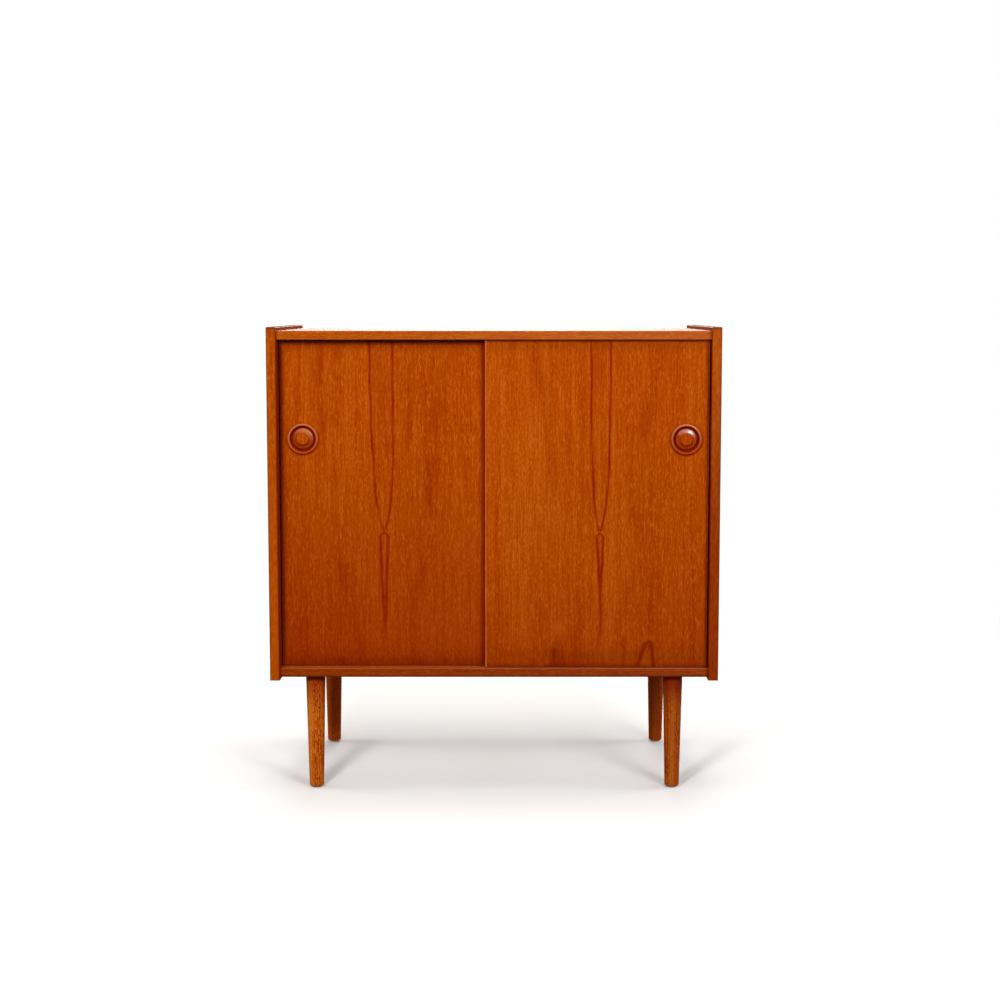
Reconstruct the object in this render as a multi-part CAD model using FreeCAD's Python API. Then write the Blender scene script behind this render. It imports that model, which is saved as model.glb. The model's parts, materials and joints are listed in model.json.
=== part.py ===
"""A small teak sideboard: a case on four turned legs, closed by two sliding doors with round turned pulls.

Millimetres. The origin is on the floor under the middle of the case, +Z is up and the doors face -Y.
"""

import FreeCAD, Part
import os

# Case
width = 850.0
depth = 410.0
inner_height = 624.0
side_thickness = 18.5
board_thickness = 16.5
side_rise = 7.0
side_drop = 5.0
board_setback = 10.0
side_lipping_depth = 8.0
board_lipping_depth = 7.0
side_arris_radius = 2.2
board_arris_radius = 1.4

# Back panel and its screws
back_thickness = 4.0
back_inset = 1.5
back_rebate_width = 9.0
back_edge_clearance = 0.5
back_screw_pitch = 135.0
back_screw_radius = 1.25
back_screw_length = 13.0
back_screw_head_radius = 2.9
back_screw_head_height = 1.1

# Dowels between the sides and the boards
dowel_radius = 4.0
dowel_in_side = 10.5
dowel_in_board = 19.5
dowel_end_inset = 50.0
dowel_count = 4
dowel_chamfer = 0.8
dowel_end_clearance = 0.5

# Sliding doors
door_thickness = 12.0
door_setback = 7.5
door_spacing = 3.5
door_overlap = 34.0
door_end_clearance = 1.5
door_bottom_clearance = 1.5
door_top_clearance = 2.0
door_lipping_width = 3.0
door_arris_radius = 0.7

# Tongues on the doors, and the grooves that they run in
tongue_thickness = 5.0
tongue_seat = 8.0
tongue_play = 0.5
tongue_top_entry = 4.0
tongue_lift = 0.3
groove_bottom_depth = 6.0
groove_top_depth = 9.0
slide_strip_thickness = 1.2
slide_strip_clearance = 0.1

# Turned pulls, measured from the face of the door
pull_radius = 29.0
pull_from_door_edge = 43.0
pull_above_door_foot = 435.0
pull_rim_width = 4.4
pull_rim_rise = 2.5
pull_rim_edge = 0.6
pull_groove_width = 5.2
pull_groove_depth = 6.3
pull_groove_inner_wall = 0.8
pull_shoulder_drop = 0.5
pull_boss_radius = 10.8
pull_boss_rise = 2.1
pull_boss_flare = 2.0
pull_boss_round = 0.5
pull_spigot_radius = 25.8
pull_floor = 2.6
pull_bore_clearance = 0.2

# Legs
leg_length = 219.0
leg_top_radius = 18.75
leg_foot_radius = 13.75
leg_foot_round = 1.5
leg_from_side = 82.0
leg_from_front = 42.0

# Leg plates let in flush under the bottom board, their screws and the hanger bolts
plate_width = 66.0
plate_depth = 44.0
plate_thickness = 2.5
plate_corner_radius = 4.0
plate_collar_radius = 6.5
plate_collar_height = 4.5
plate_screw_inset = 6.5
plate_screw_radius = 1.75
plate_screw_length = 7.0
plate_screw_head_radius = 3.4
plate_screw_head_height = 1.9
bolt_radius = 4.0
bolt_in_leg = 32.0
bolt_above_collar = 1.0
bolt_end_clearance = 1.2
bolt_point_length = 6.0

# Foot glides
glide_radius = 9.0
glide_thickness = 3.0
glide_round = 0.8
glide_nail_radius = 1.2
glide_nail_length = 12.0

# Shelves and their pins
shelf_thickness = 16.0
shelf_names = ("lower", "upper")
shelf_lipping_depth = 4.0
shelf_end_clearance = 1.5
shelf_behind_door = 9.0
shelf_back_clearance = 2.0
shelf_pin_radius = 2.5
shelf_pin_in_side = 9.0
shelf_pin_reach = 9.0
shelf_pin_collar_radius = 4.0
shelf_pin_collar_thickness = 1.2
shelf_pin_from_edge = 45.0
shelf_pin_pitch = 32.0
shelf_pin_clearance = 0.1

# Clearances that several pieces share
fit_clearance = 0.1
overrun = 5.0

# Heights and depths that follow from the sizes above
bottom_under = glide_thickness + leg_length
bottom_top = bottom_under + board_thickness
top_under = bottom_top + inner_height
top_surface = top_under + board_thickness
side_foot = bottom_under - side_drop
side_top = top_surface + side_rise
inner_half = width / 2 - side_thickness
front = -depth / 2
rear = depth / 2
board_front = front + board_setback
back_face = rear - back_inset - back_thickness

# Where the doors and their grooves lie
front_door_face = board_front + door_setback
rear_door_face = front_door_face + door_thickness + door_spacing
door_foot = bottom_top + door_bottom_clearance
door_head = top_under - door_top_clearance
door_half_overlap = door_overlap / 2
groove_width = tongue_thickness + 2 * tongue_play
groove_centres = (front_door_face + door_thickness / 2, rear_door_face + door_thickness / 2)

SIDES = (("left", -1), ("right", 1))
pieces = {}


def block(x0, x1, y0, y1, z0, z1):
    """A box between two corners, whichever way round they are given."""
    corner = FreeCAD.Vector(min(x0, x1), min(y0, y1), min(z0, z1))
    return Part.makeBox(abs(x1 - x0), abs(y1 - y0), abs(z1 - z0), corner)


def rod(radius, length, start, direction):
    """A round bar from start along direction."""
    return Part.makeCylinder(radius, length, FreeCAD.Vector(*start), FreeCAD.Vector(*direction))


def fuse(first, second):
    """One solid from two that meet or overlap."""
    return first.fuse(second).removeSplitter().Solids[0]


def cut(shape, tools):
    """shape without the tools."""
    return shape.cut(tools).Solids[0]


def lies_at(edge, axis, place):
    """Whether the whole edge has the same x, y or z. Closer than a fit counts as the same place."""
    box = edge.BoundBox
    ends = {"x": (box.XMin, box.XMax), "y": (box.YMin, box.YMax), "z": (box.ZMin, box.ZMax)}[axis]
    return all(abs(end - place) < fit_clearance for end in ends)


def eased(shape, radius, picks):
    """shape with some edges rounded over. A pick is a group of (axis, place) that an edge has to fit."""
    chosen = [
        edge for edge in shape.Edges
        if any(all(lies_at(edge, axis, place) for axis, place in pick) for pick in picks)
    ]
    return shape.makeFillet(radius, chosen).Solids[0]


def turned(outline):
    """A solid turned about Z. The outline is a list of points (radius, height), and a stretch given
    as two points is an arc through the first of them to the second."""
    edges = []
    here = None
    for stretch in outline:
        points = stretch if isinstance(stretch[0], tuple) else (stretch,)
        spots = [FreeCAD.Vector(radius, 0, height) for radius, height in points]
        if here is not None and len(spots) == 1:
            edges.append(Part.LineSegment(here, spots[0]).toShape())
        if here is not None and len(spots) == 2:
            edges.append(Part.Arc(here, spots[0], spots[1]).toShape())
        here = spots[-1]
    start = edges[0].Vertexes[0].Point
    edges.append(Part.LineSegment(here, start).toShape())
    face = Part.Face(Part.Wire(edges))
    return face.revolve(FreeCAD.Vector(0, 0, 0), FreeCAD.Vector(0, 0, 1), 360).Solids[0]


def screw(shank_radius, shank_length, head_radius, head_height):
    """A round-headed screw whose head rests on z = 0, with its shank and point going up."""
    point = 2 * shank_radius
    bulge_radius_share = 0.75
    bulge_height_share = 0.8
    return turned([
        (0, -head_height),
        ((head_radius * bulge_radius_share, -head_height * bulge_height_share), (head_radius, 0)),
        (shank_radius, 0),
        (shank_radius, shank_length - point),
        (0, shank_length),
    ])


def spread(first, last, count):
    """count places from first to last, evenly apart."""
    return [first + (last - first) * i / (count - 1) for i in range(count)]


def placed(shape, x, y, z):
    """A copy of shape moved to a place."""
    copy = shape.copy()
    copy.translate(FreeCAD.Vector(x, y, z))
    return copy


# Dowel places: depth of each one, and the height of the boards' middles
dowel_depths = spread(board_front + dowel_end_inset, rear - dowel_end_inset, dowel_count)
board_middles = {"bottom": bottom_under + board_thickness / 2, "top": top_under + board_thickness / 2}


def dowel(sign, y, z):
    """A chamfered dowel across the joint between a side and a board's end."""
    length = dowel_in_side + dowel_in_board
    bar = rod(dowel_radius, length, (sign * (inner_half + dowel_in_side), y, z), (-sign, 0, 0))
    return bar.makeChamfer(dowel_chamfer, [e for e in bar.Edges if e.Closed])


def dowel_hole(sign, y, z):
    """The hole for one dowel, through side and board alike."""
    reach = dowel_in_side + dowel_in_board + 2 * dowel_end_clearance
    start = (sign * (inner_half + dowel_in_side + dowel_end_clearance), y, z)
    return rod(dowel_radius + fit_clearance, reach, start, (-sign, 0, 0))


def dowel_holes(names, signs):
    """The dowel holes at the named boards and sides."""
    places = [(sign, y, board_middles[name]) for name in names for sign in signs for y in dowel_depths]
    return [dowel_hole(*place) for place in places]


# Back screws: round the rebate, in from the rear
back_half_width = inner_half + back_rebate_width - back_edge_clearance
back_foot = bottom_top - back_rebate_width + back_edge_clearance
back_head = top_under + back_rebate_width - back_edge_clearance


def back_screw_places():
    """Where the back panel is screwed on: up both sides, and along the top and the bottom board."""
    up = int((top_under - bottom_top) / back_screw_pitch)
    along = int(2 * inner_half / back_screw_pitch)
    middle = back_rebate_width / 2
    heights = spread(bottom_top + back_screw_pitch / 2, top_under - back_screw_pitch / 2, max(up, 2))
    widths = spread(-inner_half + back_screw_pitch / 2, inner_half - back_screw_pitch / 2, max(along, 2))
    places = [(sign * (inner_half + middle), z) for _, sign in SIDES for z in heights]
    return places + [(x, z) for z in (bottom_top - middle, top_under + middle) for x in widths]


def back_screw_holes():
    """The screws' holes, from the rear face of the back panel."""
    return [
        rod(back_screw_radius + fit_clearance, back_screw_length + fit_clearance,
            (x, back_face + back_thickness, z), (0, -1, 0))
        for x, z in back_screw_places()
    ]


def back_space():
    """The room that the back panel's rebate takes out of the sides and the boards."""
    return block(
        -back_half_width - back_edge_clearance, back_half_width + back_edge_clearance,
        back_face, rear + overrun,
        back_foot - back_edge_clearance, back_head + back_edge_clearance,
    )


def shelf_levels():
    """The underside of each shelf, with the shelves evenly apart."""
    count = len(shelf_names)
    bay = (inner_height - count * shelf_thickness) / (count + 1)
    return [bottom_top + bay * (i + 1) + shelf_thickness * i for i in range(count)]


# Shelf depths and the two lines of pins
shelf_front = rear_door_face + door_thickness + shelf_behind_door
shelf_back = back_face - shelf_back_clearance
pin_depths = (shelf_front + shelf_pin_from_edge, shelf_back - shelf_pin_from_edge)


def pin_holes(sign):
    """The pin holes in one side: under each shelf, and one step above and below."""
    drop = shelf_pin_radius + shelf_pin_clearance
    return [
        rod(shelf_pin_radius + fit_clearance, shelf_pin_in_side + fit_clearance,
            (sign * inner_half, y, level - drop + step * shelf_pin_pitch), (sign, 0, 0))
        for level in shelf_levels() for step in (-1, 0, 1) for y in pin_depths
    ]


def make_sides():
    """The two upright sides, each with a solid lipping glued to its front edge."""
    for name, sign in SIDES:
        inner = sign * inner_half
        outer = sign * width / 2
        lipping_back = front + side_lipping_depth
        top_arrises = [(("z", side_top), ("x", inner)), (("z", side_top), ("x", outer))]
        panel = block(inner, outer, lipping_back, rear, side_foot, side_top)
        panel = eased(panel, side_arris_radius, top_arrises)
        holes = dowel_holes(("bottom", "top"), (sign,)) + pin_holes(sign)
        pieces["side_panel_" + name] = cut(panel, holes + back_screw_holes() + [back_space()])
        lipping = block(inner, outer, front, lipping_back, side_foot, side_top)
        lipping = eased(lipping, side_arris_radius, top_arrises + [(("y", front),)])
        pieces["side_lipping_" + name] = lipping


def door_grooves(face, groove_depth):
    """The two grooves in one board. face is the board's face towards the inside."""
    return [
        block(-inner_half - overrun, inner_half + overrun,
              centre - groove_width / 2, centre + groove_width / 2, face, face + groove_depth)
        for centre in groove_centres
    ]


def leg_places():
    """The name and the centre of each leg."""
    across = width / 2 - leg_from_side
    return [
        (end + "_" + name, sign * across, y)
        for end, y in (("front", front + leg_from_front), ("rear", rear - leg_from_front))
        for name, sign in SIDES
    ]


def plate_sheet(margin, low, high):
    """A leg plate's rounded rectangle, larger all round by a margin, from one height to another."""
    half_width = plate_width / 2 + margin
    half_depth = plate_depth / 2 + margin
    sheet = block(-half_width, half_width, -half_depth, half_depth, low, high)
    upright = [edge for edge in sheet.Edges if edge.BoundBox.ZLength > (high - low) / 2]
    return sheet.makeFillet(plate_corner_radius + margin, upright)


def plate_screw_offsets():
    """The four screw places of one leg plate, from its centre."""
    across = plate_width / 2 - plate_screw_inset
    along = plate_depth / 2 - plate_screw_inset
    return [(sx * across, sy * along) for sx in (-1, 1) for sy in (-1, 1)]


def bottom_board_holes():
    """What is cut into the bottom board from below: the plates' seats, their collars and the screws."""
    holes = []
    seat = bottom_under + plate_thickness
    reach = plate_collar_height + bolt_above_collar + bolt_end_clearance
    for _, x, y in leg_places():
        holes.append(placed(plate_sheet(fit_clearance, bottom_under - overrun, seat), x, y, 0))
        holes.append(rod(plate_collar_radius + fit_clearance, reach, (x, y, seat), (0, 0, 1)))
        for dx, dy in plate_screw_offsets():
            spot = (x + dx, y + dy, seat)
            holes.append(rod(plate_screw_radius + fit_clearance, plate_screw_length, spot, (0, 0, 1)))
    return holes


def make_boards():
    """The top and the bottom board between the sides, each with a solid lipping on its front edge."""
    lipping_back = board_front + board_lipping_depth
    levels = {"bottom": (bottom_under, bottom_top), "top": (top_under, top_surface)}
    tools = {
        "bottom": door_grooves(bottom_top, -groove_bottom_depth) + bottom_board_holes(),
        "top": door_grooves(top_under, groove_top_depth),
    }
    for name, (low, high) in levels.items():
        board = block(-inner_half, inner_half, lipping_back, rear, low, high)
        more = dowel_holes((name,), (-1, 1)) + back_screw_holes() + [back_space()]
        pieces[name + "_board"] = cut(board, tools[name] + more)
        lipping = block(-inner_half, inner_half, board_front, lipping_back, low, high)
        arrises = [(("y", board_front), ("z", low)), (("y", board_front), ("z", high))]
        lipping = eased(lipping, board_arris_radius, arrises)
        pieces[name + "_board_lipping"] = cut(lipping, tools[name])
        dowels = [dowel(sign, y, board_middles[name]) for _, sign in SIDES for y in dowel_depths]
        pieces[name + "_board_dowels"] = Part.makeCompound(dowels)


def make_back():
    """The thin back panel in its rebate, and the screws that hold it."""
    y = back_face + back_thickness
    panel = block(-back_half_width, back_half_width, back_face, y, back_foot, back_head)
    pieces["back_panel"] = cut(panel, back_screw_holes())
    one = screw(back_screw_radius, back_screw_length - fit_clearance, back_screw_head_radius,
                back_screw_head_height)
    one.rotate(FreeCAD.Vector(0, 0, 0), FreeCAD.Vector(1, 0, 0), 90)
    pieces["back_panel_screws"] = Part.makeCompound([placed(one, x, y, z) for x, z in back_screw_places()])


def make_slide_strips():
    """A hard fibre strip on the floor of each lower groove, which the doors slide on."""
    half = groove_width / 2 - slide_strip_clearance
    floor = bottom_top - groove_bottom_depth
    for name, centre in zip(("front", "rear"), groove_centres):
        pieces["slide_strip_" + name] = block(
            -inner_half, inner_half, centre - half, centre + half, floor, floor + slide_strip_thickness,
        )


def pull_outline():
    """The turned pull's outline, with the door's face at height 0."""
    rim_inner = pull_radius - pull_rim_width
    rim_middle = pull_radius - pull_rim_width / 2
    groove_inner = rim_inner - pull_groove_width
    groove_round = pull_groove_width / 2
    groove_side = groove_round - pull_groove_depth
    groove_middle = rim_inner - groove_round
    wall_foot = pull_boss_radius + pull_boss_flare
    shoulder_edge = groove_side + pull_groove_inner_wall
    shoulder_middle = (wall_foot + groove_inner) / 2
    bulge_share = 0.42
    shoulder_height = -pull_shoulder_drop + (shoulder_edge + pull_shoulder_drop) * bulge_share
    spigot_foot = -pull_groove_depth - pull_floor
    boss_top_radius = pull_boss_radius - pull_boss_round
    boss_corner = pull_boss_rise - pull_boss_round
    corner_share = 0.7
    return [
        (0, spigot_foot),
        (pull_spigot_radius, spigot_foot),
        (pull_spigot_radius, 0),
        (pull_radius, 0),
        (pull_radius, pull_rim_edge),
        ((rim_middle, pull_rim_rise), (rim_inner, pull_rim_edge)),
        (rim_inner, groove_side),
        ((groove_middle, -pull_groove_depth), (groove_inner, groove_side)),
        (groove_inner, shoulder_edge),
        ((shoulder_middle, shoulder_height), (wall_foot, -pull_shoulder_drop)),
        (pull_boss_radius, boss_corner),
        ((boss_top_radius + pull_boss_round * corner_share, boss_corner + pull_boss_round * corner_share),
         (boss_top_radius, pull_boss_rise)),
        (0, pull_boss_rise),
    ]


def pull_bore_depth():
    """How deep the pull's hole goes into the door."""
    return pull_groove_depth + pull_floor + pull_bore_clearance


def make_door(name, sign, face):
    """One door: a veneered panel, solid lippings on its upright edges, tongues above and below, a pull."""
    outer = sign * (inner_half - door_end_clearance)
    inner = -sign * door_half_overlap
    back = face + door_thickness
    centre = face + door_thickness / 2
    slip = tongue_thickness / 2
    panel_outer = outer - sign * door_lipping_width
    panel_inner = inner + sign * door_lipping_width
    panel = block(panel_inner, panel_outer, face, back, door_foot, door_head)

    bottom_tongue_foot = bottom_top - groove_bottom_depth + slide_strip_thickness + tongue_lift
    tongues = {
        "bottom": block(panel_inner, panel_outer, centre - slip, centre + slip,
                        bottom_tongue_foot, door_foot + tongue_seat),
        "top": block(panel_inner, panel_outer, centre - slip, centre + slip,
                     door_head - tongue_seat, top_under + tongue_top_entry),
    }
    pull_x = outer - sign * pull_from_door_edge
    pull_z = door_foot + pull_above_door_foot
    bore = rod(pull_spigot_radius + pull_bore_clearance, pull_bore_depth(), (pull_x, face, pull_z), (0, 1, 0))
    pieces["door_" + name + "_panel"] = cut(panel, list(tongues.values()) + [bore])
    for end, tongue in tongues.items():
        pieces["door_" + name + "_" + end + "_tongue"] = tongue

    for end, near, far in (("outer", panel_outer, outer), ("inner", inner, panel_inner)):
        strip = block(near, far, face, back, door_foot, door_head)
        edge = outer if end == "outer" else inner
        pieces["door_" + name + "_" + end + "_lipping"] = eased(strip, door_arris_radius, [(("x", edge),)])

    pull = turned(pull_outline())
    pull.rotate(FreeCAD.Vector(0, 0, 0), FreeCAD.Vector(1, 0, 0), 90)
    pieces["door_" + name + "_pull"] = placed(pull, pull_x, face, pull_z)


def make_shelves():
    """Loose shelves with a lipped front edge, each on four brass pins."""
    half = inner_half - shelf_end_clearance
    shank = shelf_pin_in_side + shelf_pin_reach
    for name, level in zip(shelf_names, shelf_levels()):
        lipping_back = shelf_front + shelf_lipping_depth
        high = level + shelf_thickness
        pieces["shelf_" + name] = block(-half, half, lipping_back, shelf_back, level, high)
        lipping = block(-half, half, shelf_front, lipping_back, level, high)
        arrises = [(("y", shelf_front), ("z", level)), (("y", shelf_front), ("z", high))]
        pieces["shelf_" + name + "_lipping"] = eased(lipping, board_arris_radius, arrises)
        z = level - shelf_pin_radius - shelf_pin_clearance
        pins = []
        for _, sign in SIDES:
            for y in pin_depths:
                tip = (sign * (inner_half - shelf_pin_reach), y, z)
                bar = rod(shelf_pin_radius, shank, tip, (sign, 0, 0))
                collar_top = block(
                    sign * (inner_half - shelf_pin_collar_thickness), sign * inner_half,
                    y - shelf_pin_collar_radius, y + shelf_pin_collar_radius,
                    z - shelf_pin_collar_radius, z + shelf_pin_radius,
                )
                pins.append(fuse(bar, collar_top))
        pieces["shelf_" + name + "_pins"] = Part.makeCompound(pins)


def make_legs():
    """Four turned legs, each screwed up to its plate by a hanger bolt, with a nylon glide below."""
    leg = turned([
        (0, 0),
        (leg_foot_radius - leg_foot_round, 0),
        (leg_foot_radius, leg_foot_round),
        (leg_top_radius, leg_length),
        (0, leg_length),
    ])
    bolt_depth = bolt_in_leg + fit_clearance
    nail_depth = glide_nail_length + fit_clearance
    bolt_hole = rod(bolt_radius + fit_clearance, bolt_depth, (0, 0, leg_length), (0, 0, -1))
    nail_hole = rod(glide_nail_radius + fit_clearance, nail_depth, (0, 0, 0), (0, 0, 1))
    leg = cut(leg, [bolt_hole, nail_hole])

    bolt_top = plate_thickness + plate_collar_height + bolt_above_collar
    bolt = turned([
        (0, -bolt_in_leg),
        (bolt_radius, bolt_point_length - bolt_in_leg),
        (bolt_radius, bolt_top),
        (0, bolt_top),
    ])
    collar = rod(plate_collar_radius, plate_collar_height, (0, 0, plate_thickness), (0, 0, 1))
    plate = fuse(plate_sheet(0, 0, plate_thickness), collar)
    bolt_way = rod(bolt_radius + fit_clearance, bolt_top + overrun, (0, 0, -overrun / 2), (0, 0, 1))
    ways = [
        rod(plate_screw_radius + fit_clearance, plate_thickness + overrun, (dx, dy, -overrun / 2), (0, 0, 1))
        for dx, dy in plate_screw_offsets()
    ]
    plate = cut(plate, [bolt_way] + ways)
    shank = plate_thickness + plate_screw_length - fit_clearance
    plate_screw = screw(plate_screw_radius, shank, plate_screw_head_radius, plate_screw_head_height)
    glide = turned([
        (0, 0),
        (glide_radius - glide_round, 0),
        (glide_radius, glide_round),
        (glide_radius, glide_thickness),
        (glide_nail_radius, glide_thickness),
        (glide_nail_radius, glide_thickness + glide_nail_length - glide_nail_radius),
        (0, glide_thickness + glide_nail_length),
    ])

    bolts = []
    screws = []
    for name, x, y in leg_places():
        pieces["leg_" + name] = placed(leg, x, y, glide_thickness)
        pieces["leg_plate_" + name] = placed(plate, x, y, bottom_under)
        pieces["foot_glide_" + name] = placed(glide, x, y, 0)
        bolts.append(placed(bolt, x, y, bottom_under))
        screws += [placed(plate_screw, x + dx, y + dy, bottom_under) for dx, dy in plate_screw_offsets()]
    pieces["leg_hanger_bolts"] = Part.makeCompound(bolts)
    pieces["leg_plate_screws"] = Part.makeCompound(screws)


make_sides()
make_boards()
make_back()
make_slide_strips()
make_door("left", -1, rear_door_face)
make_door("right", 1, front_door_face)
make_shelves()
make_legs()

os.makedirs("parts", exist_ok=True)
for node, shape in pieces.items():
    shape.exportStep("parts/" + node + ".step")
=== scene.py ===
"""The dressed model of a small teak sideboard: its finishes, screw heads, floor, lamps and camera.

Metres. The origin is on the floor under the middle of the case, +Z is up and the doors face -Y.
"""

import json
import math
import random

import bmesh
import bpy
from mathutils import Matrix, Vector

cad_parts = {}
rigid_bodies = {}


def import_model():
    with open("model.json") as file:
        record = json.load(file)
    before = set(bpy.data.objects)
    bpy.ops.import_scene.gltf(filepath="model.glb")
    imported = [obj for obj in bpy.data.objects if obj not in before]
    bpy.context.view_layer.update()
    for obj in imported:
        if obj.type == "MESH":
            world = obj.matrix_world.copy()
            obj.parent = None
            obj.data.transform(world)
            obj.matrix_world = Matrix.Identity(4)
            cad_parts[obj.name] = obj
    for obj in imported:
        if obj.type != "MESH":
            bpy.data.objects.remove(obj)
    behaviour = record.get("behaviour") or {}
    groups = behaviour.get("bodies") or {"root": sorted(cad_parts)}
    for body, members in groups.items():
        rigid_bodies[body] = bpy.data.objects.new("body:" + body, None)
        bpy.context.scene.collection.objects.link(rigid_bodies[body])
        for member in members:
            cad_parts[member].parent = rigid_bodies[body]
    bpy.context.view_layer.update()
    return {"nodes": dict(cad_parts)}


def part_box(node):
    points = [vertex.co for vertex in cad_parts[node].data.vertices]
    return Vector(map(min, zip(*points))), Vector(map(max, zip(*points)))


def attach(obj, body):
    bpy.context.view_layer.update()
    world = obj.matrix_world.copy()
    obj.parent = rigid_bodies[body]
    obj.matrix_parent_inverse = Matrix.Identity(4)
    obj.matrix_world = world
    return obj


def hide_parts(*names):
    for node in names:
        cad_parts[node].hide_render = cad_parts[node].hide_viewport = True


for leftover in list(bpy.data.objects):
    bpy.data.objects.remove(leftover)
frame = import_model()

# Sides: two upright panels of blockboard with teak veneer on both faces, grain upright. Their rear edges
# are bare, so the pale strips of the core show there between two skins of veneer. Dowels in the ends of the
# boards hold them.

X, Y, Z = 0, 1, 2


class Shade:
    """One output of a shader node. Arithmetic on Shades adds the Math nodes for it."""

    def __init__(self, tree, socket=None):
        self.tree = tree
        self.socket = socket

    def node(self, kind, settings=None, values=None, output=0):
        """One output of a new node: its settings come first, then its sockets' values or links."""
        made = self.tree.nodes.new(kind)
        for name, setting in (settings or {}).items():
            setattr(made, name, setting)
        for name, value in (values or {}).items():
            if isinstance(value, Shade):
                self.tree.links.new(value.socket, made.inputs[name])
            else:
                made.inputs[name].default_value = value
        return Shade(self.tree, made.outputs[output])

    def end(self, kind):
        """This shader goes to the output of its material or world."""
        made = self.tree.nodes.new(kind)
        self.tree.links.new(self.socket, made.inputs["Surface"])

    def math(self, operation, *values):
        return self.node("ShaderNodeMath", {"operation": operation}, dict(enumerate((self, *values))))

    def __add__(self, other):
        return self.math("ADD", other)

    def __sub__(self, other):
        return self.math("SUBTRACT", other)

    def __rsub__(self, other):
        return self.math("MULTIPLY", -1.0) + other

    def __mul__(self, other):
        return self.math("MULTIPLY", other)

    def __truediv__(self, other):
        return self.math("DIVIDE", other)

    def __pow__(self, other):
        return self.math("POWER", other)

    def __abs__(self):
        return self.math("ABSOLUTE")

    __radd__ = __add__
    __rmul__ = __mul__

    def least(self, other):
        return self.math("MINIMUM", other)

    def most(self, other):
        return self.math("MAXIMUM", other)

    def xyz(self):
        """The three numbers of a vector."""
        parts = self.tree.nodes.new("ShaderNodeSeparateXYZ")
        self.tree.links.new(self.socket, parts.inputs[0])
        return [Shade(self.tree, output) for output in parts.outputs]

    def rise(self, low, high):
        """From 0 where this is low to 1 where it is high, smoothly, and level beyond them."""
        limits = {"Value": self, "From Min": low, "From Max": high}
        return self.node("ShaderNodeMapRange", {"interpolation_type": "SMOOTHSTEP"}, limits)

    def line(self, width):
        """1 where this is 0, fading to 0 where it is width away from that."""
        return 1 - abs(self).rise(width * 0.1, width)

    def mix(self, first, second):
        """The first colour where this is 0, the second where it is 1."""
        # For colours, this node's inputs are 0, 6 and 7, and its output is 2.
        return self.node("ShaderNodeMix", {"data_type": "RGBA"}, {0: self, 6: first, 7: second}, 2)

    def drawn(self, along, across, length, detail=1.0, seed=0.0):
        """Noise drawn out along one axis, from 0 to 1: its spots are 1/across wide and 1/length long."""
        scale = [across] * 3
        scale[along] = length
        place = self.node("ShaderNodeVectorMath", {"operation": "MULTIPLY_ADD"},
                          {0: self, 1: scale, 2: (seed, seed, seed)})
        noise = self.node("ShaderNodeTexNoise", {}, {"Vector": place, "Scale": 1.0, "Detail": detail})
        # The plain noise hardly leaves 0.22 to 0.78.
        return noise.node("ShaderNodeMapRange", {}, {"Value": noise, "From Min": 0.22, "From Max": 0.78})


def finish(name, look, **fixed):
    """A material. look(place) gives the sockets that vary over the piece, and fixed those that don't."""
    material = bpy.data.materials.new(name)
    material.use_nodes = True
    tree = material.node_tree
    shader = tree.nodes["Principled BSDF"]
    place = Shade(tree).node("ShaderNodeTexCoord", output="Object")
    sockets = look(place)
    relief = {"Height": sockets.pop("Relief"), "Distance": 0.0003, "Strength": 0.5}
    sockets["Normal"] = place.node("ShaderNodeBump", {}, relief)
    for socket, value in sockets.items():
        tree.links.new(value.socket, shader.inputs[socket])
    for socket, value in fixed.items():
        shader.inputs[socket.replace("_", " ")].default_value = value
    return material


def tone(red, green, blue):
    return (red, green, blue, 1.0)


def teak(along, dark, middle, pale, seed, marks=None, rough=0.42):
    """The look of oiled teak. Its grain runs along one axis: broad bands, long streaks, short pale flecks
    and fine dark pores. marks(place) gives what is laid over that, as pairs of a share and a colour."""

    def look(place):
        broad = place.drawn(along, 9, 1.3, 1, seed)
        bands = place.drawn(along, 70, 2, 2, seed + 3)
        streaks = place.drawn(along, 380, 14, 1, seed + 7)
        short = place.drawn(along, 470, 150, 1, seed + 11)
        flecks = place.drawn(along, 520, 95, 0, seed + 13).rise(0.62, 0.95)
        pores = place.drawn(along, 1700, 110, 0, seed + 17).rise(0.60, 0.95)
        shade = broad * 0.20 + bands * 0.22 + streaks * 0.28 + short * 0.30
        wood = shade.rise(0.20, 0.52).mix(dark, middle)
        wood = shade.rise(0.46, 0.84).mix(wood, pale)
        wood = (flecks * 0.60).mix(wood, pale)
        wood = (pores * 0.52).mix(wood, dark)
        for share, colour in (marks(place) if marks else ()):
            wood = share.mix(wood, colour)
        return {
            "Base Color": wood,
            "Roughness": rough + pores * 0.2 - flecks * 0.06,
            "Relief": shade * 0.2 - pores * 0.5,
        }

    return look


def dress(material, *names):
    """Gives CAD nodes a finish."""
    for name in names:
        for slot in frame["nodes"][name].material_slots:
            slot.material = material


VENEER = 0.0009


def cored(look, through, low, high):
    """A veneered panel's look, with the bare core on its rear edge between two skins of veneer. through is
    the axis across the panel."""

    def panel(place):
        sockets = look(place)
        axes = place.xyz()
        rear_edge = axes[Y].rise(high.y - 0.0004, high.y - 0.0002)
        middle = (low[through] + high[through]) / 2
        half = (high[through] - low[through]) / 2
        skin = abs(abs(axes[through]) - middle).rise(half - VENEER, half - VENEER + 0.0003)
        strips = place.drawn(Z if through == X else X, 45, 3, 2, 31)
        core = strips.mix(tone(0.34, 0.19, 0.08), tone(0.58, 0.38, 0.20))
        sockets["Base Color"] = (rear_edge * (1 - skin)).mix(sockets["Base Color"], core)
        return sockets

    return panel


def past_middle(coordinate):
    """For x, 0 on the pieces left of the case's middle and 1 on those right of it. For y, 0 on the pieces in
    front of it and 1 on those behind it."""
    return coordinate.rise(-0.1, 0.1)


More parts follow.
